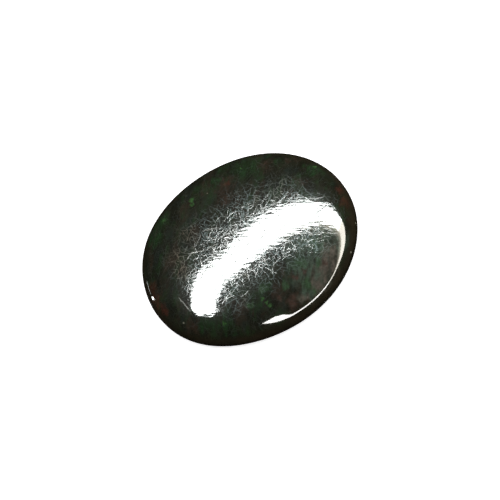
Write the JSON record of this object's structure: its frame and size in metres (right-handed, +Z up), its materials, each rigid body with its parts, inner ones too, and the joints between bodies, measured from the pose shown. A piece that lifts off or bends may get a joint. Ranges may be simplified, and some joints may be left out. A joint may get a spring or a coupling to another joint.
{
  "type": "black opal cabochon",
  "caption": "Oval black opal cabochon, a polished stone with a low smooth dome, a thin girdle and a flat bevelled back.",
  "frame": {"origin": "middle of the flat back, on the surface the stone rests on", "axes": "+X along the oval's length, +Y across its width, +Z up from the back through the top of the dome"},
  "size_m": [0.012, 0.01, 0.0025],
  "materials": {
    "polished_black_opal": "polished, with fine hairline scratches and soft green and red-brown flecks"
  },
  "bodies": {
    "root": {"opal_cabochon": "polished_black_opal"}
  },
  "joints": []
}
